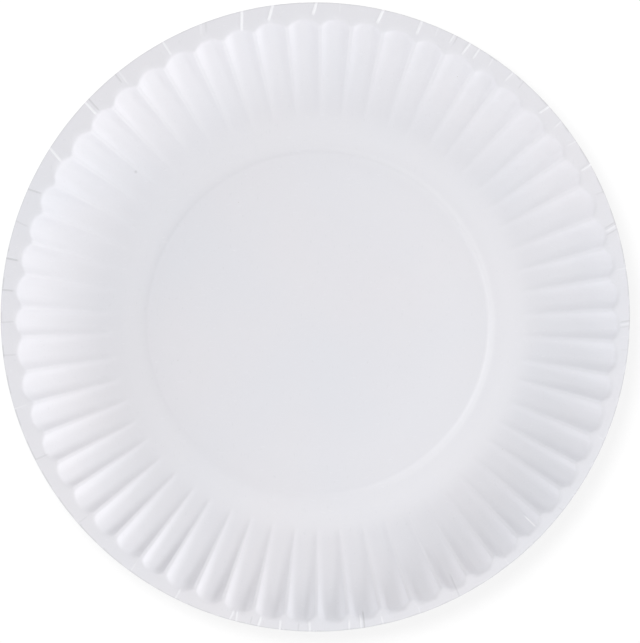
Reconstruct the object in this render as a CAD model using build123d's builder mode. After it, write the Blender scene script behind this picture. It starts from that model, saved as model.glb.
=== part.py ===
from build123d import *
from math import acos, cos, degrees, pi, sin, sqrt
import os

# Round paper plate, pressed in one piece from a flat disc of board.
# The origin is the middle of the underside, +Z is up and the eating side faces up.

# Disc and board, in millimetres like every length here
plate_diameter = 228.6
board = 0.35

# Flat flange around the flutes, measured from the lobe tips to the cut edge
flange_width = 4.1

# Wall: an arc that leaves the base level and steepens up to the flange
wall_run = 36.2
well_depth = 15.5
wall_steps = 4

# Flutes: rounded troughs in the wall, each parted from the next by a narrow fold.
# Seen from above, a trough's tip reaches this far past the folds beside it.
flute_count = 58
scallop_at_flange = 2.2
scallop_at_base = 0.3

# Base: the plate stands on a flat ring, and the middle inside it is pressed up a little
standing_ring_width = 8.8
middle_rise = 0.4
middle_slope_width = 2.6

# Worked out from these
plate_radius = plate_diameter / 2
tip_radius = plate_radius - flange_width
foot_radius = tip_radius - wall_run
slope_foot_radius = foot_radius - standing_ring_width
slope_head_radius = slope_foot_radius - middle_slope_width
flange_bottom = well_depth
half_flute = pi / flute_count
wall_radius = (wall_run**2 + well_depth**2) / (2 * well_depth)


def polar(radius, angle):
    """Point at a radius and an angle, in the plane of the sketch."""
    return Vector(radius, 0).rotate(Axis.Z, degrees(angle))


def contour(share, thickness):
    """Level outline of the wall, a share of the way up and so far under its top face."""
    face_radius = wall_radius + thickness
    steepness = share * acos(1 - well_depth / face_radius)
    height = board - thickness + face_radius * (1 - cos(steepness))

    # The trough's arc on the top face, from its tip and from the folds at its ends
    scallop = scallop_at_base + (scallop_at_flange - scallop_at_base) * sqrt(share)
    top_tip = foot_radius + wall_radius * sin(steepness)
    top_fold = top_tip - scallop
    centre = (top_tip**2 - top_fold**2) / (2 * (top_tip - top_fold * cos(half_flute)))

    # The same arc set off by the board, and where it meets the next one
    arc_radius = top_tip - centre + thickness * sin(steepness)
    offset = centre * sin(half_flute)
    fold = centre * cos(half_flute) + sqrt(arc_radius**2 - offset**2)

    with BuildSketch(Plane.XY.offset(height)) as outline:
        with BuildLine():
            for flute in range(flute_count):
                middle = 2 * flute * half_flute
                ThreePointArc(
                    polar(fold, middle - half_flute),
                    polar(centre + arc_radius, middle),
                    polar(fold, middle + half_flute),
                )
        make_face()
    return outline.sketch


def middle_profile(level):
    """Half section of the raised middle, standing on this level."""
    with BuildSketch(Plane.XZ) as profile:
        with BuildLine():
            Polyline(
                (0, level),
                (slope_foot_radius, level),
                (slope_head_radius, level + middle_rise),
                (0, level + middle_rise),
                close=True,
            )
        make_face()
    return profile.sketch


step_shares = [step / wall_steps for step in range(wall_steps + 1)]

with BuildPart() as plate:
    # Outside of the well, under the flange
    loft([contour(share, board) for share in step_shares], ruled=True)
    # Flange
    with BuildSketch(Plane.XY.offset(flange_bottom)):
        Circle(plate_radius)
    extrude(amount=board)
    # Inside of the well
    loft([contour(share, 0) for share in step_shares], ruled=True, mode=Mode.SUBTRACT)
    # Raised middle, with the same step on the underside
    revolve(middle_profile(board), axis=Axis.Z)
    revolve(middle_profile(0), axis=Axis.Z, mode=Mode.SUBTRACT)

plate.part.label = "plate"
os.makedirs("parts", exist_ok=True)
export_step(plate.part, "parts/plate.step")
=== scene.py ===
import bpy
import bmesh
import random
from math import acos, atan2, cos, exp, floor, hypot, pi, radians, sin, sqrt, tan
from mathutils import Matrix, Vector


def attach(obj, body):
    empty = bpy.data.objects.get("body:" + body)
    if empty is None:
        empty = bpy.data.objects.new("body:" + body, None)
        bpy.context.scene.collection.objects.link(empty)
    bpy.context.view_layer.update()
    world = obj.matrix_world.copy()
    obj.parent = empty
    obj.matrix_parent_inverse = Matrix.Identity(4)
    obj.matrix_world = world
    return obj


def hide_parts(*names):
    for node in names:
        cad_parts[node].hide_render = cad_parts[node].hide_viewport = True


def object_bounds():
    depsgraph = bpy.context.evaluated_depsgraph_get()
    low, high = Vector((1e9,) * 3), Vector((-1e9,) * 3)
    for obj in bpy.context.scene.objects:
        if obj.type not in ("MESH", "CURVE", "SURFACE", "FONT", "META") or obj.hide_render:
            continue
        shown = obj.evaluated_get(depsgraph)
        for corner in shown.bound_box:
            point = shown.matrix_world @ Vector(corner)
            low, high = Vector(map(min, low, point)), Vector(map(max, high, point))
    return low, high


bl_info = {
    "name": "Paper Plate",
    "version": (1, 0, 0),
    "blender": (4, 5, 0),
    "location": "View3D > Sidebar > Plate",
    "description": "Presses a fluted paper plate from one sheet of board and sets it on a studio table",
    "category": "Object",
}

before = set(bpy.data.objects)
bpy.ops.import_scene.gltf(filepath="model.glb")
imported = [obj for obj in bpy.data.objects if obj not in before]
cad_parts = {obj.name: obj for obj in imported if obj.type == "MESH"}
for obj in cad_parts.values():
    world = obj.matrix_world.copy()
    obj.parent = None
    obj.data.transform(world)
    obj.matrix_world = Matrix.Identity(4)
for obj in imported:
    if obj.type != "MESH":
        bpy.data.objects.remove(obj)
cad_low, cad_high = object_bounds()
MM = 0.001

# The photograph's frame, in pixels: its size and the plate's outline in it
PHOTO_WIDTH, PHOTO_HEIGHT = 640, 643
RIM_CENTRE_X, RIM_CENTRE_Y = 315.3, 317.0
RIM_RADIUS = 314.65
# The camera's sensor, in millimetres
SENSOR_WIDTH = 36

# Distances within which points count as one: on a line, in the seam between two flutes, and on a pleat
ON_LINE = 0.001 * MM
IN_SEAM = 0.005 * MM
CLOSE_BY = 0.01 * MM
# Edges that bend less than this look smooth
SMOOTH_UNDER = radians(50)


class PlateSizes(bpy.types.PropertyGroup):
    """Sizes of the pressed plate."""

    rim_radius: bpy.props.FloatProperty(
        name="Rim radius", description="From the middle to the cut edge",
        default=min(cad_high[0], cad_high[1], -cad_low[0], -cad_low[1]), unit="LENGTH")
    height: bpy.props.FloatProperty(
        name="Height", description="From the table to the top of the flange",
        default=cad_high[2] - cad_low[2], unit="LENGTH")
    board: bpy.props.FloatProperty(
        name="Board", description="Thickness of the board", default=0.35 * MM, unit="LENGTH")
    flange_width: bpy.props.FloatProperty(
        name="Flange width", description="From the lobe tips to the cut edge, on average",
        default=4.1 * MM, unit="LENGTH")
    wall_run: bpy.props.FloatProperty(
        name="Wall run", description="Width of the wall seen from above", default=36.2 * MM, unit="LENGTH")
    flutes: bpy.props.IntProperty(name="Flutes", description="Flutes round the wall", default=58)
    lobe: bpy.props.FloatProperty(
        name="Lobe", description="How far a trough reaches past its folds at the flange",
        default=2.2 * MM, unit="LENGTH")
    fold_radius: bpy.props.FloatProperty(
        name="Fold radius", description="Rounding of the fold between two troughs",
        default=1.7 * MM, unit="LENGTH")
    ridge_height: bpy.props.FloatProperty(
        name="Ridge height", description="How far each fold stands up as a narrow ridge",
        default=0.24 * MM, unit="LENGTH")
    ridge_width: bpy.props.FloatProperty(
        name="Ridge width", description="Half width of that ridge", default=0.95 * MM, unit="LENGTH")
    trough_floor: bpy.props.FloatProperty(
        name="Trough floor", description="Share of a trough's width that is flat",
        default=0.35, subtype="FACTOR")
    trough_change: bpy.props.FloatProperty(
        name="Trough change", description="How far the trough goes from an arc to that flat floor",
        default=0.9, subtype="FACTOR")
    ring_radius: bpy.props.FloatProperty(
        name="Ring radius", description="Middle of the pressed slope round the base",
        default=63.9 * MM, unit="LENGTH")
    ring_width: bpy.props.FloatProperty(
        name="Ring width", description="Width of the pressed slope", default=3.2 * MM, unit="LENGTH")
    ring_rise: bpy.props.FloatProperty(
        name="Ring rise", description="How far the middle is pressed up", default=0.46 * MM, unit="LENGTH")
    ring_lip: bpy.props.FloatProperty(
        name="Ring lip", description="How far the slope's upper edge stands over the middle",
        default=0.07 * MM, unit="LENGTH")
    # Painted highlight: how far the pressed slope is lightened on its side toward the lamps
    ring_highlight: bpy.props.FloatProperty(
        name="Ring tone", description="How far the pressed slope's fibres are opened on its higher side",
        default=0.38, subtype="FACTOR")
    # Painted light: how much lighter the board is made round the foot of the wall
    foot_painted_light: bpy.props.FloatProperty(
        name="Foot tone", description="How much paler the board is pressed round the foot of the wall",
        default=0.17, subtype="FACTOR")
    # Painted light: how much lighter the base is made on its side toward the lamps
    side_painted_light: bpy.props.FloatProperty(
        name="Side tone", description="How much paler the base is toward its one side",
        default=0.14, subtype="FACTOR")
    lobe_shift: bpy.props.FloatVectorProperty(
        name="Lobe shift", description="How far the lobes stand off the middle of the cut disc",
        size=2, default=(0.55 * MM, -1.4 * MM), unit="LENGTH")
    punch_shift: bpy.props.FloatVectorProperty(
        name="Punch shift", description="How much further off the folds run, and most of it the base",
        size=2, default=(0.45 * MM, -1.25 * MM), unit="LENGTH")
    punch_turn: bpy.props.FloatProperty(
        name="Punch turn", description="Turn of the flutes about the middle",
        default=radians(-0.21), unit="ROTATION")
    fold_drift: bpy.props.FloatProperty(
        name="Fold drift", description="How far a fold strays from its even place",
        default=radians(0.2), unit="ROTATION")
    lobe_drift: bpy.props.FloatProperty(
        name="Lobe drift", description="How much one trough's depth differs from the next one's",
        default=0.18 * MM, unit="LENGTH")
    flange_rise: bpy.props.FloatProperty(
        name="Flange rise", description="How far the flange rises from the flutes out to the cut edge",
        default=0.3 * MM, unit="LENGTH")
    flange_round: bpy.props.FloatProperty(
        name="Flange rounding", description="How far the line between flutes and flange is rounded down",
        default=0.1 * MM, unit="LENGTH")
    flange_wave: bpy.props.FloatProperty(
        name="Flange wave", description="How far the cut edge waves down",
        default=0.08 * MM, unit="LENGTH")
    edge_drop: bpy.props.FloatProperty(
        name="Edge drop", description="How far the cutter pulled the edge of the board down",
        default=0.04 * MM, unit="LENGTH")
    pleat_height: bpy.props.FloatProperty(
        name="Pleat height", description="How far a pleat in the flange stands up or lies deep",
        default=0.09 * MM, unit="LENGTH")


class PlateLook(bpy.types.PropertyGroup):
    """Finish of the board."""

    board_colour: bpy.props.FloatVectorProperty(
        name="Board", description="Colour that the fibres and the fleck are shades of",
        subtype="COLOR", size=3, default=(0.776, 0.776, 0.812))
    warm_colour: bpy.props.FloatVectorProperty(
        name="Warm board", description="Colour of the bleached board between its cool patches",
        subtype="COLOR", size=3, default=(0.789, 0.779, 0.812))
    cool_colour: bpy.props.FloatVectorProperty(
        name="Cool board", description="Colour of the board in its large cool patches",
        subtype="COLOR", size=3, default=(0.767, 0.772, 0.814))
    speck_colour: bpy.props.FloatVectorProperty(
        name="Specks", description="Colour of the rare specks in the board",
        subtype="COLOR", size=3, default=(0.42, 0.37, 0.3))
    # Pale pleats take this colour, and the painted light on the pressed slope, round the wall's foot and on
    # the base mixes toward it
    opened_and_painted_light_colour: bpy.props.FloatVectorProperty(
        name="Opened fibres", description="Colour of the board where a pleat has stretched it",
        subtype="COLOR", size=3, default=(0.93, 0.93, 0.96))
    # Painted shade: sunk creases and the cut edge are darkened toward this colour
    painted_shade_colour: bpy.props.FloatVectorProperty(
        name="Creased fibres", description="Colour of the board deep in a crease",
        subtype="COLOR", size=3, default=(0.56, 0.56, 0.58))
    cloud_strength: bpy.props.FloatProperty(
        name="Clouding", description="Strength of the cloudy formation of the fibres",
        default=0.0045, subtype="FACTOR", min=0, max=1)
    roughness: bpy.props.FloatProperty(
        name="Roughness", description="Roughness of the uncoated face", default=0.85, subtype="FACTOR")
    gloss: bpy.props.FloatProperty(
        name="Gloss", description="Strength of the face's faint gloss", default=0.3, subtype="FACTOR")
    tooth_depth: bpy.props.FloatProperty(
        name="Tooth depth", description="Depth of the face's fine tooth",
        default=0.02 * MM, unit="LENGTH")
    tooth_strength: bpy.props.FloatProperty(
        name="Tooth strength", description="How strongly that tooth shows",
        default=0.25, subtype="FACTOR")


class StudioSettings(bpy.types.PropertyGroup):
    """Table, lamps and camera."""

    table_size: bpy.props.FloatProperty(
        name="Table size", description="Length of the table's sides", default=4.0, unit="LENGTH")
    table_colour: bpy.props.FloatVectorProperty(
        name="Table", description="Colour of the table", subtype="COLOR", size=3, default=(0.8, 0.8, 0.8))
    table_shade: bpy.props.FloatProperty(
        name="Table shade", description="Brightness that the camera sees of the table with no light on it",
        default=0.845, subtype="FACTOR")
    table_dimming: bpy.props.FloatProperty(
        name="Table dimming", description="Share of the light on the table that the camera sees on top",
        default=0.16, subtype="FACTOR")
    room_light: bpy.props.FloatProperty(
        name="Room light", description="Even light from all round", default=0.58, subtype="FACTOR")
    camera_height: bpy.props.FloatProperty(
        name="Camera height", description="Camera above the flange", default=4.0, unit="LENGTH")


def start_piece(name, operator, **options):
    """Adds a primitive by itself, in edit mode, with its origin at the scene's."""
    if bpy.context.mode != "OBJECT":
        bpy.ops.object.mode_set(mode="OBJECT")
    bpy.ops.object.select_all(action="DESELECT")
    operator(location=(0, 0, 0), **options)
    piece = bpy.context.object
    piece.name = name
    bpy.ops.object.mode_set(mode="EDIT")
    return piece


def use(piece):
    """Selects one whole object, in object mode."""
    if bpy.context.mode != "OBJECT":
        bpy.ops.object.mode_set(mode="OBJECT")
    bpy.ops.object.select_all(action="DESELECT")
    piece.select_set(True)
    bpy.context.view_layer.objects.active = piece


def pick(piece, kind, test):
    """Selects, in edit mode, the verts, edges or faces whose place passes the test."""
    sheet = bmesh.from_edit_mesh(piece.data)
    bpy.ops.mesh.select_mode(type={"verts": "VERT", "edges": "EDGE", "faces": "FACE"}[kind])
    bpy.ops.mesh.select_all(action="DESELECT")
    for part in getattr(sheet, kind):
        if part.hide:
            continue
        if kind == "verts":
            part.select = test(part.co)
        else:
            part.select = all(test(corner.co) for corner in part.verts)
    sheet.select_flush_mode()
    bmesh.update_edit_mesh(piece.data, loop_triangles=False, destructive=False)


class Ring:
    """A level line across one flute: its tip, its folds and its height."""

    def __init__(self, tip, fold, height):
        self.tip = tip
        self.fold = fold
        self.height = height


def wall_radius(sizes):
    """Radius of the arc that the wall follows from the base to the flange."""
    depth = sizes.height - sizes.board
    return (sizes.wall_run**2 + depth**2) / (2 * depth)


def wall_ring(sizes, share):
    """Ring a share of the way up the wall."""
    depth = sizes.height - sizes.board
    arc = wall_radius(sizes)
    steepness = share * acos(1 - depth / arc)
    tip = sizes.rim_radius - sizes.flange_width - sizes.wall_run + arc * sin(steepness)
    return Ring(tip, tip - sizes.lobe * sqrt(share), sizes.board + arc * (1 - cos(steepness)))


def lobe_ring(sizes):
    """Ring where the wall meets the flange, rounded down from the top of the wall's arc."""
    lobe = wall_ring(sizes, 1)
    lobe.height -= sizes.flange_rise + sizes.flange_round
    return lobe


def even_ring(radius, height):
    """Ring of the round base or of the flange."""
    return Ring(radius, radius, height)


FOLD_STEPS = 3
TROUGH_STEPS = 8
# The sheet's level lines from the flange down the wall, out over the flange, and in over the base
WALL_SHARES = (0.985, 0.955, 0.915, 0.87, 0.825, 0.78, 0.735, 0.69, 0.645, 0.60, 0.555, 0.51, 0.465, 0.42,
               0.375, 0.33, 0.285, 0.24, 0.195, 0.15, 0.11, 0.07, 0.035, 0.0)
FLANGE_SHARES = (0.07, 0.25, 0.45, 0.65, 0.85, 0.94, 1.0)
LIP_END = 0.94
BASE_SHARES = (0.985, 0.97, LIP_END, 0.8, 0.55, 0.3, 0.1)
# The pressed slope's profile, from its foot in to its lip: shares of its width and of its rise
SLOPE_SHARES = ((0.0, 0.0), (0.2, 0.03), (0.4, 0.11), (0.6, 0.27), (0.75, 0.45), (0.88, 0.69), (0.96, 0.9),
                (1.0, 1.0))


def spin_about(angle, centre, steps):
    """Draws an arc on from the selected vertex, anticlockwise for a positive angle."""
    bpy.ops.mesh.spin(steps=steps, angle=-angle, center=centre, axis=(0, 0, 1), use_auto_merge=False)


def draw_lobe(sizes):
    """Draws the level line of one flute at the flange: a wide arc and half a fold at each end."""
    half = pi / sizes.flutes
    lobe = lobe_ring(sizes)
    rounding = sizes.fold_radius
    # Middle of the trough's arc, which runs through the tip and into the rounding of the folds
    outer = lobe.tip + rounding
    inner = lobe.fold + rounding
    centre = (outer**2 - inner**2) / (2 * (outer - inner * cos(half)))
    sweep = atan2(inner * sin(half), inner * cos(half) - centre)
    start = Vector((lobe.fold * cos(half), -lobe.fold * sin(half), lobe.height))
    bpy.ops.mesh.merge(type="CENTER")
    bpy.ops.transform.translate(value=start)
    spin_about(half - sweep, (inner * cos(half), -inner * sin(half), lobe.height), FOLD_STEPS)
    spin_about(2 * sweep, (centre, 0, lobe.height), TROUGH_STEPS)
    spin_about(half - sweep, (inner * cos(half), inner * sin(half), lobe.height), FOLD_STEPS)
    return lobe


def draw_out(rings, here, half):
    """Extrudes the selected line from ring to ring, stretched to each one's tip and folds."""
    for there in rings:
        bpy.ops.mesh.extrude_edges_move()
        deep = (there.tip - there.fold * cos(half)) / (here.tip - here.fold * cos(half))
        bpy.ops.transform.resize(
            value=(deep, there.fold / here.fold, 1), center_override=(here.tip, 0, here.height))
        bpy.ops.transform.translate(value=(there.tip - here.tip, 0, there.height - here.height))
        here = there


def base_rings(sizes):
    """Rings from the foot of the wall in to the middle, over the pressed slope and its lip."""
    low = sizes.board
    foot = sizes.rim_radius - sizes.flange_width - sizes.wall_run
    outer = sizes.ring_radius + sizes.ring_width / 2
    inner = outer - sizes.ring_width
    lip = low + sizes.ring_rise
    rings = [even_ring((foot + outer) / 2, low)]
    for along, up in SLOPE_SHARES:
        rings.append(even_ring(outer - along * sizes.ring_width, low + up * sizes.ring_rise))
    for share in BASE_SHARES:
        sunk = min((1 - share) / (1 - LIP_END), 1)
        rings.append(even_ring(inner * share, lip - sizes.ring_lip * sunk * (2 - sunk)))
    return rings


def make_flute(sizes):
    """One flute of the sheet, from near the middle out to the rim."""
    half = pi / sizes.flutes
    piece = start_piece("plate_board", bpy.ops.mesh.primitive_plane_add, size=MM)
    lobe = draw_lobe(sizes)
    bpy.ops.mesh.select_all(action="SELECT")
    draw_out([wall_ring(sizes, share) for share in WALL_SHARES] + base_rings(sizes), lobe, half)
    # Back to the line where the wall meets the flange, and out from there
    pick(piece, "edges", lambda place: place.z > lobe.height - ON_LINE)
    flange = []
    for share in FLANGE_SHARES:
        tip = lobe.tip + share * (sizes.rim_radius - lobe.tip)
        fold = lobe.fold + share * (sizes.rim_radius - lobe.fold)
        flange.append(Ring(tip, fold, sizes.height - sizes.flange_rise * (1 - share)))
    draw_out(flange, lobe, half)
    return piece


def make_sheet(sizes):
    """The flute repeated all the way round, merged into one sheet."""
    piece = make_flute(sizes)
    bpy.ops.mesh.select_all(action="SELECT")
    turns = sizes.flutes - 1
    bpy.ops.mesh.spin(
        steps=turns, dupli=True, angle=2 * pi * turns / sizes.flutes, center=(0, 0, 0), axis=(0, 0, 1),
        use_auto_merge=False)
    bpy.ops.mesh.select_all(action="SELECT")
    bpy.ops.mesh.remove_doubles(threshold=IN_SEAM)
    # Close the middle with a fan
    innermost = (sizes.ring_radius - sizes.ring_width / 2) * BASE_SHARES[-1]
    pick(piece, "edges", lambda place: hypot(place.x, place.y) < innermost + CLOSE_BY)
    bpy.ops.mesh.edge_face_add()
    bpy.ops.mesh.poke()
    bpy.ops.mesh.select_all(action="SELECT")
    bpy.ops.mesh.normals_make_consistent(inside=False)
    sheet = bmesh.from_edit_mesh(piece.data)
    middle = min(sheet.faces, key=lambda face: face.calc_center_median().to_2d().length)
    if middle.normal.z < 0:
        bpy.ops.mesh.flip_normals()
    return piece


def shift_press(piece, sizes):
    """Moves all that the press formed off the middle, while the cut edge stays where it is."""
    shift = Vector((*sizes.lobe_shift, 0))
    lobe = lobe_ring(sizes)
    lobe_middle = (lobe.tip + lobe.fold) / 2
    # From the rim in, each ring of the flange takes its share, and is hidden once it is in place
    for share, inward in zip(FLANGE_SHARES[:0:-1], FLANGE_SHARES[-2::-1]):
        limit = lobe_middle + (share + inward) / 2 * (sizes.rim_radius - lobe_middle)
        pick(piece, "verts", lambda place: hypot(place.x, place.y) > limit)
        bpy.ops.transform.translate(value=shift * (1 - share) / (1 - FLANGE_SHARES[0]))
        bpy.ops.mesh.hide()
    bpy.ops.mesh.select_all(action="SELECT")
    bpy.ops.transform.translate(value=shift)
    bpy.ops.mesh.reveal()


def clamp(share):
    """Keeps a share between 0 and 1."""
    return min(max(share, 0), 1)


def fade(value, none, full):
    """Eases from 0, where the value is none, to 1, where it is full."""
    share = clamp((value - none) / (full - none))
    return share * share * (3 - 2 * share)


def facing(angle, side):
    """1 on that side of the plate, falling to 0 opposite it."""
    return 0.5 + 0.5 * cos(angle - side)


# Seed of the press's random faults
PRESS_SEED = 58
# Share of the folds' further shift that the base takes too
BASE_TAKES = 0.77
# The side on which the middle is pressed up more: how much more, how narrowly, and how much less all over
# The same side and narrowness place the painted highlight on the pressed slope
HIGH_SIDE = radians(6)
HIGH_MORE = 1.15
HIGH_NARROW = 3
HIGH_LESS = 0.8
# The side on which the folds' ridges are sharpest: their height all round, and how much more there
SHARP_SIDE = radians(-100)
SHARP_LEAST = 0.4
SHARP_MORE = 0.7
# The side toward the lamps, on which the base is painted lighter
PAINTED_LIGHT_SIDE = 0
# Waves round the flange: how many, and where each one starts
FLANGE_WAVES = ((5, 0.4), (11, 2.1), (19, 4.0), (31, 1.2))
# Share of the flange past which its board is pulled down by the cutter
EDGE_SHARE = 0.97

# Where each thing starts to show and where it shows in full. The ridges, by the climb up the wall, and
# the flat floors and ridges, by the height left under the flange
RIDGE_FADE = (0.01, 0.1)
TROUGH_FADE = (0, 1.6 * MM)
# The painted highlight on the pressed slope, by the way up it: at its foot, and past its lip
HIGHLIGHT_FOOT = (0.05, 0.45)
HIGHLIGHT_LIP = (1.25, 1.0)
# The painted light round the wall's foot, by the radius past the slope's foot. It and the painted light on
# the base's lamp side end by the radius past the wall's foot, and that side's painted light starts by the
# radius from the middle
FOOT_FADE = (-3 * MM, 2 * MM)
WALL_FADE = (7 * MM, -3 * MM)
SIDE_FADE = (25 * MM, 50 * MM)


class Spot:
    """Where a vertex lies under the press, before it moves."""

    def __init__(self, press, outward, height):
        self.height = height
        self.radius = outward.length
        self.angle = atan2(outward.y, outward.x)
        self.radial = outward / self.radius
        # How far up the wall, how far out over the flange, and how far out over the standing ring
        edge = press.sizes.rim_radius - press.middle.dot(self.radial)
        self.climb = clamp((self.radius - press.foot) / (press.lobe.fold - press.foot))
        self.over = clamp((self.radius - press.lobe.tip) / (edge - press.lobe.tip))
        self.wall = fade(self.radius, press.slope_foot, press.foot)
        # The trough that it lies in, and how far off that one's middle, in flutes
        self.trough = round(self.angle / press.pitch)
        self.across = self.angle / press.pitch - self.trough


class Press:
    """The tool as it stood over the sheet: off the middle, and with uneven flutes."""

    def __init__(self, sizes):
        draw = random.Random(PRESS_SEED)
        self.turns = [draw.gauss(0, 1) * sizes.fold_drift for _ in range(sizes.flutes)]
        self.depths = [draw.uniform(-1, 1) * sizes.lobe_drift for _ in range(sizes.flutes)]
        self.sizes = sizes
        self.middle = Vector(sizes.lobe_shift)
        self.punch = Vector(sizes.punch_shift)
        self.lobe = lobe_ring(sizes)
        self.foot = wall_ring(sizes, 0).tip
        self.slope_foot = sizes.ring_radius + sizes.ring_width / 2
        self.arc = wall_radius(sizes)
        self.steepest = acos(1 - (sizes.height - sizes.board) / self.arc)
        self.pitch = 2 * pi / sizes.flutes

    def shift(self, spot):
        """How far a spot goes level: with the punch, with its folds' stray and with its trough's depth."""
        flutes = self.sizes.flutes
        tangent = Vector((-spot.radial.y, spot.radial.x))
        # From one fold to the next the stray goes over from the one's to the other's
        turn_place = spot.angle / self.pitch - 0.5
        fold = floor(turn_place)
        part = turn_place - fold
        stray = self.turns[fold % flutes] * (1 - part) + self.turns[(fold + 1) % flutes] * part
        takes = BASE_TAKES + (1 - BASE_TAKES) * spot.wall
        sideways = self.punch.dot(tangent) * takes * (1 - spot.over)
        sideways += (stray + self.sizes.punch_turn) * spot.radius * spot.wall * (1 - spot.over)
        depth = self.depths[spot.trough % flutes] * cos(pi * spot.across) ** 2
        outwards = self.punch.dot(spot.radial) * BASE_TAKES * (1 - fade(spot.climb, 0, 1))
        outwards += depth * sqrt(spot.climb) * spot.wall * (1 - spot.over)
        return tangent * sideways + spot.radial * outwards

    def trough_rise(self, spot):
        """How far a spot of the wall rises as the trough's floor goes flat and its folds stand up."""
        sizes = self.sizes
        under_flange = self.lobe.height - spot.height
        if spot.radius <= self.slope_foot or under_flange <= 0:
            return 0
        steepness = acos(1 - max(spot.height - sizes.board, 0) / self.arc)
        depth = sizes.lobe * sqrt(steepness / self.steepest) * tan(steepness)
        reach = 2 * abs(spot.across)
        change = fade(reach, sizes.trough_floor, 1) - reach**2
        from_fold = (0.5 - abs(spot.across)) * self.pitch * spot.radius
        sharpness = SHARP_LEAST + SHARP_MORE * facing(spot.angle, SHARP_SIDE) ** 2
        ridge = sharpness * exp(-((from_fold / sizes.ridge_width) ** 2)) * fade(spot.climb, *RIDGE_FADE)
        rise = depth * change * sizes.trough_change + sizes.ridge_height * ridge
        return rise * fade(under_flange, *TROUGH_FADE)

    def middle_rise(self, spot):
        """How much more the middle is pressed up on its high side, and less on the others."""
        if spot.radius >= self.slope_foot:
            return 0
        lean = HIGH_MORE * facing(spot.angle, HIGH_SIDE) ** HIGH_NARROW - HIGH_LESS
        return (spot.height - self.sizes.board) * lean * (spot.radius / self.slope_foot) ** 2

    def flange_drop(self, spot):
        """How far the flange waves down out to its edge, which the cutter has pulled down too."""
        parts = [sin(count * spot.angle + start) / (1 + index)
                 for index, (count, start) in enumerate(FLANGE_WAVES)]
        wave = 0.5 + 0.5 * sum(parts) / sum(1 / (1 + index) for index in range(len(FLANGE_WAVES)))
        drop = self.sizes.flange_wave * wave * spot.over
        if spot.over > EDGE_SHARE:
            drop += self.sizes.edge_drop
        return drop

    def tone(self, spot):
        """Painted light for a spot: a highlight on the pressed slope toward the lamps, and lighter board
        round the wall's foot and on the base toward the lamps.
        """
        tone = 0
        # Painted highlight on the pressed slope's side toward the lamps
        if spot.radius < self.slope_foot:
            up_slope = (self.slope_foot - spot.radius) / self.sizes.ring_width
            highlight_share = fade(up_slope, *HIGHLIGHT_FOOT) * fade(up_slope, *HIGHLIGHT_LIP)
            tone = self.sizes.ring_highlight * facing(spot.angle, HIGH_SIDE) ** HIGH_NARROW * highlight_share
        # Painted light round the wall's foot
        inside_wall = fade(spot.radius - self.foot, *WALL_FADE)
        tone += self.sizes.foot_painted_light * fade(spot.radius - self.slope_foot, *FOOT_FADE) * inside_wall
        # Painted light on the base's side toward the lamps
        painted_side_light = facing(spot.angle, PAINTED_LIGHT_SIDE) * fade(spot.radius, *SIDE_FADE)
        return tone + self.sizes.side_painted_light * painted_side_light * inside_wall


def warp_press(piece, sizes):
    """Moves the sheet's vertices in code to where the uneven press left them, and writes the painted light on
    the base and the pressed slope.
    """
    press = Press(sizes)
    sheet = bmesh.from_edit_mesh(piece.data)
    # The pleat attribute, which here takes painted light: a highlight on the pressed slope and lighter board
    # round the wall's foot and on the base toward the lamps
    tone = sheet.verts.layers.float.new("pleat")
    for corner in sheet.verts:
        outward = corner.co.to_2d() - press.middle
        if outward.length < MM:
            # The very middle only goes with the base
            corner.co.x += press.punch.x * BASE_TAKES
            corner.co.y += press.punch.y * BASE_TAKES
            continue
        spot = Spot(press, outward, corner.co.z)
        moved = press.shift(spot)
        corner.co.x += moved.x
        corner.co.y += moved.y
        corner.co.z += press.trough_rise(spot) + press.middle_rise(spot) - press.flange_drop(spot)
        corner[tone] = press.tone(spot)
    bmesh.update_edit_mesh(piece.data)
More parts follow.
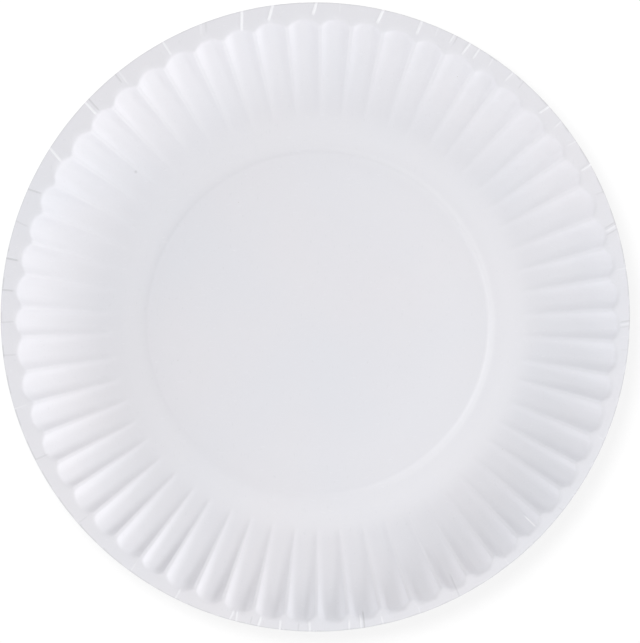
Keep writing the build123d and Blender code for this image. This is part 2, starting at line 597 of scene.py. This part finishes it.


# Pleats and creases in the flange and the top of the wall. Each has its place at the rim and its slant
# off the radius in degrees, clockwise from +X, how far in it runs and how wide it is in millimetres, and
# its depth of tone: up to 1 for a raised pale pleat, down to -1 for a sunk crease darkened with painted
# shade. The one on a fold ends with how far in from the rim it begins.
PLEATS = (
    (0.6, -12, 4.0, 0.4, -0.4), (1.1, -12, 4.0, 0.5, 0.3), (1.6, -12, 4.0, 0.4, -0.25),
    (6, -4, 3.0, 0.4, -0.15), (23, 3, 3.0, 0.4, 0.25), (38, -2, 2.6, 0.4, -0.2),
    (43.6, 1, 9.5, 0.4, 0.9, 3.6),
    (52, 4, 2.8, 0.4, 0.25), (62.7, 4, 9.0, 0.45, -0.3), (70.5, 3, 3.0, 0.4, 0.3),
    (77.5, -3, 3.4, 0.5, 0.5), (81.0, 3, 6.5, 0.5, -0.55), (81.6, 3, 5.2, 0.4, 0.7),
    (83.8, 6, 3.6, 0.55, 0.7), (91, -4, 4.0, 0.6, 0.6), (93.2, 5, 3.4, 0.4, -0.3),
    (96.5, -3, 3.8, 0.6, 0.7), (100.5, 8, 4.0, 0.6, 0.8), (102, 3, 3.4, 0.4, -0.3),
    (104.6, -8, 4.2, 0.5, 0.7), (105.8, 9, 4.2, 0.5, 0.6), (116.5, 5, 4.4, 0.5, 0.5),
    (126, -3, 4.2, 0.4, 0.25), (139, 4, 4.4, 0.4, -0.2), (153, 3, 5.0, 0.45, -0.3),
    (163, -2, 5.0, 0.4, 0.2), (173, 4, 5.0, 0.5, -0.25), (179, -3, 5.0, 0.45, -0.25),
    (185, 1, 4.6, 0.5, -0.5), (190.8, 1, 4.8, 0.5, -0.55), (197.8, 8, 5.0, 0.5, -0.25),
    (204, -6, 5.4, 0.5, -0.45), (212.5, 18, 6.6, 0.7, 0.8), (223, 4, 6.2, 0.7, 0.8),
    (223.9, 4, 6.0, 0.45, -0.45), (230.5, 2, 4.2, 0.45, -0.4), (231.3, 2, 5.6, 0.45, 0.4),
    (241, -4, 5.8, 0.6, 0.65), (248.6, 18, 4.6, 0.8, 0.25), (249.6, 18, 4.4, 0.7, -0.15),
    (256.5, 14, 7.2, 0.8, 1.0), (262.2, 23, 6.0, 0.8, 0.95), (270.2, 16, 4.8, 0.85, 1.0),
    (274.5, -4, 3.6, 0.4, 0.2), (282.5, 13, 5.6, 0.85, 1.0), (289.8, 2, 5.4, 0.8, 0.6),
    (293, -5, 3.6, 0.4, 0.2), (296.2, 4, 3.8, 0.5, 0.5), (296.9, 4, 3.8, 0.4, -0.3),
    (299.5, 7, 5.2, 0.6, 0.8), (301.5, 3, 4.6, 0.5, 0.6), (304.5, -4, 3.8, 0.4, 0.3),
    (309, 6, 4.2, 0.5, 0.5), (311.5, -3, 3.6, 0.4, -0.2), (318, 8, 4.6, 0.6, 0.8),
    (321.5, -4, 3.6, 0.45, 0.4), (326, 5, 3.8, 0.4, 0.35), (331, -5, 4.4, 0.55, 0.7),
    (336.5, 4, 3.6, 0.4, -0.2), (342.4, -14, 4.8, 0.4, -0.4), (343.0, -14, 4.8, 0.5, 0.6),
    (343.7, -14, 4.8, 0.4, -0.35), (351, -3, 3.6, 0.4, 0.25),
)
# Widths over which a pleat falls to its sides and to its ends, and the cut edge's width and its painted shade
PLEAT_EDGE = 0.14 * MM
PLEAT_FADE = 0.9 * MM
CUT_WIDTH = 0.3 * MM
PAINTED_CUT_SHADE = 0.48
# How far past the rim a pleat starts, in millimetres, and how far round it the sheet is cut
PAST_RIM = -3
END_MARGIN = 2 * MM
SIDE_MARGIN = 2.2 * MM
REACH_MARGIN = 3 * MM


class Pleat:
    """One pleat, as a straight line in from the rim."""

    def __init__(self, sizes, place, slant, reach, width, tone, begin=PAST_RIM):
        self.start = Vector((cos(radians(-place)), sin(radians(-place)))) * sizes.rim_radius
        inward = radians(-place - slant) + pi
        self.along = Vector((cos(inward), sin(inward)))
        self.across = Vector((-self.along.y, self.along.x))
        self.reach = reach * MM
        self.begin = begin * MM
        self.half = width * MM / 2
        self.tone = tone

    def locate(self, place):
        """Distance in from the rim along the pleat, and sideways from its middle line."""
        offset = place.to_2d() - self.start
        return offset.dot(self.along), offset.dot(self.across)

    def near(self, place):
        """Whether a place is on the pleat or within its margins."""
        along, across = self.locate(place)
        return -END_MARGIN < along < self.reach + END_MARGIN and abs(across) < self.half + SIDE_MARGIN

    def strength(self, place):
        """1 on the pleat, falling to 0 over its edges and its ends."""
        along, across = self.locate(place)
        side = clamp((self.half + PLEAT_EDGE - abs(across)) / PLEAT_EDGE)
        end = clamp(min(self.reach - along, along - self.begin) / PLEAT_FADE)
        return side * end


def cut_pleats(piece, pleats):
    """Cuts four lines along each pleat: the edges of its flat and of its two sides."""
    reach = max(pleat.reach for pleat in pleats) + REACH_MARGIN
    rim = max(pleat.start.length for pleat in pleats)
    pick(piece, "faces", lambda place: hypot(place.x, place.y) < rim - reach)
    bpy.ops.mesh.hide()
    for pleat in pleats:
        for side in (-pleat.half - PLEAT_EDGE, -pleat.half, pleat.half, pleat.half + PLEAT_EDGE):
            pick(piece, "faces", pleat.near)
            on_line = pleat.start + pleat.across * side
            bpy.ops.mesh.bisect(plane_co=(*on_line, 0), plane_no=(*pleat.across, 0), threshold=ON_LINE)
    bpy.ops.mesh.reveal()
    bpy.ops.mesh.select_all(action="SELECT")
    bpy.ops.mesh.remove_doubles(threshold=CLOSE_BY)


def press_pleats(piece, sizes, pleats):
    """Raises or sinks the pleats, and writes for the finish to read their tone, pale on raised pleats and
    painted shade in sunk creases, and the painted shade of the cut edge.
    """
    sheet = bmesh.from_edit_mesh(piece.data)
    tone = sheet.verts.layers.float["pleat"]
    inside = sizes.rim_radius - max(pleat.reach for pleat in pleats) - MM
    for corner in sheet.verts:
        if corner.co.to_2d().length < inside:
            continue
        strengths = [pleat.strength(corner.co) * pleat.tone for pleat in pleats]
        value = max(strengths, key=abs)
        # Painted shade along the cut edge
        if corner.co.to_2d().length > sizes.rim_radius - CUT_WIDTH:
            value = min(value, 0) - PAINTED_CUT_SHADE * (1 - abs(value))
        corner[tone] = value
        corner.co.z = min(corner.co.z + sizes.pleat_height * value, sizes.height)
    bmesh.update_edit_mesh(piece.data)


def mix_colours(nodes, links, factor, low, high):
    """Mixes two colours or sockets by a factor socket."""
    mix = nodes.new("ShaderNodeMix")
    mix.data_type = "RGBA"
    links.new(factor, mix.inputs["Factor"])
    for socket, value in ((mix.inputs[6], low), (mix.inputs[7], high)):
        if isinstance(value, bpy.types.NodeSocket):
            links.new(value, socket)
        else:
            socket.default_value = (*value, 1)
    return mix.outputs[2]


def spread(nodes, links, value, low, high):
    """Stretches a value so that low gives 0 and high gives 1."""
    stretch = nodes.new("ShaderNodeMapRange")
    stretch.inputs["From Min"].default_value = low
    stretch.inputs["From Max"].default_value = high
    links.new(value, stretch.inputs["Value"])
    return stretch.outputs["Result"]


def fibres(nodes, links, place, scale, detail, stretch=(1, 1, 1)):
    """Noise at so many cells a metre, drawn out where a stretch is given."""
    mapping = nodes.new("ShaderNodeMapping")
    mapping.inputs["Scale"].default_value = stretch
    noise = nodes.new("ShaderNodeTexNoise")
    noise.inputs["Scale"].default_value = scale
    noise.inputs["Detail"].default_value = detail
    links.new(place, mapping.inputs["Vector"])
    links.new(mapping.outputs["Vector"], noise.inputs["Vector"])
    return noise.outputs["Fac"]


# The board's noises: cells a metre, detail and how far each is drawn out
CLOUDS = (220, 3)
PATCHES = (16, 2)
GRAIN = (1500, 4, (1, 0.35, 1))
CROSS_GRAIN = (1300, 4, (0.35, 1, 1))
SPECKS = (900, 1)
TOOTH = (2200, 5)
# Levels of a noise where it starts to show and where it shows in full
CLOUD_LEVELS = (0.3, 0.7)
GRAIN_LEVELS = (0.62, 0.8)
SPECK_LEVELS = (0.84, 0.87)
# Shades of the board's colour
GRAIN_SHADE = 0.95
CROSS_GRAIN_SHADE = 1.04
FLECK_SHADE = 0.84
# The fleck's place, and the distances from it where it starts to show and where it shows in full
FLECK_PLACE = (-65.4 * MM, 52.9 * MM, 0)
FLECK_EDGE = (0.75 * MM, 0.2 * MM)


def paper(look):
    """Bleached uncoated board: faint clouds and short fibres, rare specks and pale pleats, with painted light
    on the base and the pressed slope and painted shade in creases and along the cut edge.
    """
    material = bpy.data.materials.new("paper")
    material.use_nodes = True
    nodes, links = material.node_tree.nodes, material.node_tree.links
    shader = nodes["Principled BSDF"]
    place = nodes.new("ShaderNodeTexCoord").outputs["Object"]
    board, warm = Vector(look.board_colour), Vector(look.warm_colour)

    colour = warm * (1 - look.cloud_strength)
    for noise, levels, shade in (
            (CLOUDS, CLOUD_LEVELS, warm * (1 + look.cloud_strength)),
            (PATCHES, CLOUD_LEVELS, look.cool_colour),
            (GRAIN, GRAIN_LEVELS, board * GRAIN_SHADE),
            (CROSS_GRAIN, GRAIN_LEVELS, board * CROSS_GRAIN_SHADE),
            (SPECKS, SPECK_LEVELS, look.speck_colour)):
        shown = spread(nodes, links, fibres(nodes, links, place, *noise), *levels)
        colour = mix_colours(nodes, links, shown, colour, shade)

    # The one dark fleck in the board, on the wall
    flat = nodes.new("ShaderNodeMapping")
    flat.inputs["Scale"].default_value = (1, 1, 0)
    links.new(place, flat.inputs["Vector"])
    off_fleck = nodes.new("ShaderNodeVectorMath")
    off_fleck.operation = "DISTANCE"
    off_fleck.inputs[1].default_value = FLECK_PLACE
    links.new(flat.outputs["Vector"], off_fleck.inputs[0])
    fleck = spread(nodes, links, off_fleck.outputs["Value"], *FLECK_EDGE)
    colour = mix_colours(nodes, links, fleck, colour, board * FLECK_SHADE)

    # The pleat attribute: pale pleats and painted light mix toward the pale colour, painted shade in creases
    # and along the cut edge toward the dark one
    pleat = nodes.new("ShaderNodeAttribute")
    pleat.attribute_name = "pleat"
    for full, shade in ((1, look.opened_and_painted_light_colour), (-1, look.painted_shade_colour)):
        shown = spread(nodes, links, pleat.outputs["Fac"], 0, full)
        colour = mix_colours(nodes, links, shown, colour, shade)
    links.new(colour, shader.inputs["Base Color"])

    bump = nodes.new("ShaderNodeBump")
    bump.inputs["Strength"].default_value = look.tooth_strength
    bump.inputs["Distance"].default_value = look.tooth_depth
    links.new(fibres(nodes, links, place, *TOOTH), bump.inputs["Height"])
    links.new(bump.outputs["Normal"], shader.inputs["Normal"])
    shader.inputs["Roughness"].default_value = look.roughness
    shader.inputs["Specular IOR Level"].default_value = look.gloss
    return material


class PLATE_OT_press_board(bpy.types.Operator):
    """Press the plate's fluted sheet and give it the board's thickness"""

    bl_idname = "plate.press_board"
    bl_label = "Press Board"

    def execute(self, context):
        sizes = context.scene.plate_sizes
        pleats = [Pleat(sizes, *row) for row in PLEATS]
        piece = make_sheet(sizes)
        shift_press(piece, sizes)
        warp_press(piece, sizes)
        cut_pleats(piece, pleats)
        press_pleats(piece, sizes, pleats)
        bpy.ops.mesh.select_all(action="SELECT")
        bpy.ops.mesh.faces_shade_smooth()
        use(piece)
        thick = piece.modifiers.new("thickness", "SOLIDIFY")
        thick.thickness = sizes.board
        thick.offset = -1
        thick.use_even_offset = True
        bpy.ops.object.modifier_apply(modifier=thick.name)
        bpy.ops.object.shade_smooth_by_angle(angle=SMOOTH_UNDER)
        piece.data.materials.clear()
        piece.data.materials.append(paper(context.scene.plate_look))
        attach(piece, "root")
        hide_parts("plate")
        return {"FINISHED"}


# The lamps: name, azimuth and elevation in degrees, distance and diameter in metres, and the light that
# each gives to a face turned to it, where 1 shows a colour as it is written. A scratch program's fit to
# the photograph's shading chose the directions of the plate's lamps and their levels. The levels were
# then raised by 12%, and that of horizon_back by more
LAMPS = (
    ("key", -40, 57, 1.5, 0.45, 0.133),
    ("side", -30, 32, 1.5, 0.45, 0.244),
    ("low_side", 0, 22, 1.5, 0.45, 0.077),
    ("horizon_side", 10, 10, 1.8, 0.54, 0.238),
    ("fill", 190, 22, 1.5, 0.45, 0.133),
    ("horizon_fill", 160, 10, 1.8, 0.54, 0.166),
    ("horizon_back", 135, 10, 1.8, 0.54, 0.07),
    ("horizon_front", 240, 10, 1.8, 0.54, 0.181),
)
SHADOW_LAMP = ("shadow", 135, 71, 1.2, 0.55, 1.0)


def towards(azimuth, elevation):
    """Unit vector towards a lamp, its azimuth anticlockwise from +X."""
    return Vector((cos(azimuth) * cos(elevation), sin(azimuth) * cos(elevation), sin(elevation)))


def light_group(name, objects):
    """The objects that a lamp shines on."""
    group = bpy.data.collections.new(name)
    for each in objects:
        group.objects.link(each)
    return group


def hang_lamp(scene, receivers, name, azimuth, elevation, distance, diameter, level):
    """Hangs a round soft lamp that shines on the middle of the plate, and only on its receivers."""
    data = bpy.data.lights.new(name, "AREA")
    data.shape = "DISK"
    data.size = diameter
    # The power that gives this level at this distance
    data.energy = level * pi**2 * distance**2
    lamp = bpy.data.objects.new(name, data)
    lamp.location = towards(radians(azimuth), radians(elevation)) * distance
    lamp.rotation_euler = lamp.location.to_track_quat("Z", "Y").to_euler()
    scene.collection.objects.link(lamp)
    lamp.light_linking.receiver_collection = receivers


def see_rays(nodes, links):
    """1 for what the camera sees, straight or by reflection or through glass, and 0 for other light."""
    path = nodes.new("ShaderNodeLightPath")
    seen = path.outputs["Is Camera Ray"]
    for other in ("Is Glossy Ray", "Is Transmission Ray"):
        most = nodes.new("ShaderNodeMath")
        most.operation = "MAXIMUM"
        links.new(seen, most.inputs[0])
        links.new(path.outputs[other], most.inputs[1])
        seen = most.outputs["Value"]
    return seen


def table_finish(studio):
    """White for the camera, a little darker where the plate keeps the lamp off it."""
    material = bpy.data.materials.new("table")
    material.use_nodes = True
    nodes, links = material.node_tree.nodes, material.node_tree.links
    nodes.remove(nodes["Principled BSDF"])
    seen = see_rays(nodes, links)
    glow = nodes.new("ShaderNodeEmission")
    level = nodes.new("ShaderNodeMath")
    level.operation = "MULTIPLY"
    level.inputs[1].default_value = studio.table_shade
    links.new(seen, level.inputs[0])
    links.new(level.outputs["Value"], glow.inputs["Strength"])
    surface = nodes.new("ShaderNodeBsdfDiffuse")
    colour = Vector(studio.table_colour)
    dimmed = mix_colours(nodes, links, seen, colour, colour * studio.table_dimming)
    links.new(dimmed, surface.inputs["Color"])
    both = nodes.new("ShaderNodeAddShader")
    links.new(glow.outputs["Emission"], both.inputs[0])
    links.new(surface.outputs["BSDF"], both.inputs[1])
    links.new(both.outputs["Shader"], nodes["Material Output"].inputs["Surface"])
    return material


def set_room(scene, studio):
    """A white room for the camera that gives only a part of the light."""
    world = bpy.data.worlds.new("studio")
    world.use_nodes = True
    nodes, links = world.node_tree.nodes, world.node_tree.links
    background = nodes["Background"]
    background.inputs["Color"].default_value = (1, 1, 1, 1)
    light = nodes.new("ShaderNodeMix")
    light.inputs["A"].default_value = studio.room_light
    light.inputs["B"].default_value = 1
    links.new(see_rays(nodes, links), light.inputs["Factor"])
    links.new(light.outputs["Result"], background.inputs["Strength"])
    scene.world = world


def point_camera(scene, sizes, studio):
    """Sets the camera straight above, so that the plate lies where the photograph shows it."""
    pixel = sizes.rim_radius / RIM_RADIUS
    widest = max(PHOTO_WIDTH, PHOTO_HEIGHT)
    data = bpy.data.cameras.new("camera")
    data.sensor_width = SENSOR_WIDTH
    data.lens = data.sensor_width * studio.camera_height / (widest * pixel)
    data.shift_x = (PHOTO_WIDTH / 2 - RIM_CENTRE_X) / widest
    data.shift_y = -(PHOTO_HEIGHT / 2 - RIM_CENTRE_Y) / widest
    camera = bpy.data.objects.new("camera", data)
    camera.location = (0, 0, sizes.height + studio.camera_height)
    scene.collection.objects.link(camera)
    scene.camera = camera


class PLATE_OT_set_studio(bpy.types.Operator):
    """Lay the table, hang the lamps and point the camera"""

    bl_idname = "plate.set_studio"
    bl_label = "Set Studio"

    def execute(self, context):
        scene = context.scene
        sizes, studio = scene.plate_sizes, scene.plate_studio
        if bpy.context.mode != "OBJECT":
            bpy.ops.object.mode_set(mode="OBJECT")
        bpy.ops.object.select_all(action="DESELECT")
        bpy.ops.mesh.primitive_plane_add(size=studio.table_size, location=(0, 0, 0))
        table = context.object
        table.name = "table"
        table.data.materials.append(table_finish(studio))
        set_room(scene, studio)
        plate_only = light_group("lit_plate", [bpy.data.objects["plate_board"]])
        table_only = light_group("lit_table", [table])
        for lamp in LAMPS:
            hang_lamp(scene, plate_only, *lamp)
        hang_lamp(scene, table_only, *SHADOW_LAMP)
        point_camera(scene, sizes, studio)
        scene.view_settings.view_transform = "Standard"
        return {"FINISHED"}


class PLATE_PT_sidebar(bpy.types.Panel):
    """Lists the plate's steps."""

    bl_label = "Paper Plate"
    bl_space_type = "VIEW_3D"
    bl_region_type = "UI"
    bl_category = "Plate"

    def draw(self, context):
        for group in (context.scene.plate_sizes, context.scene.plate_look, context.scene.plate_studio):
            for name in group.bl_rna.properties.keys():
                if name not in ("rna_type", "name"):
                    self.layout.prop(group, name)
        for operator in (PLATE_OT_press_board, PLATE_OT_set_studio):
            self.layout.operator(operator.bl_idname)


CLASSES = (PlateSizes, PlateLook, StudioSettings, PLATE_OT_press_board, PLATE_OT_set_studio, PLATE_PT_sidebar)


def register():
    for each in CLASSES:
        bpy.utils.register_class(each)
    bpy.types.Scene.plate_sizes = bpy.props.PointerProperty(type=PlateSizes)
    bpy.types.Scene.plate_look = bpy.props.PointerProperty(type=PlateLook)
    bpy.types.Scene.plate_studio = bpy.props.PointerProperty(type=StudioSettings)


def unregister():
    del bpy.types.Scene.plate_studio
    del bpy.types.Scene.plate_look
    del bpy.types.Scene.plate_sizes
    for each in reversed(CLASSES):
        bpy.utils.unregister_class(each)


def main():
    register()
    bpy.ops.plate.press_board()
    bpy.ops.plate.set_studio()


if __name__ == "__main__":
    main()
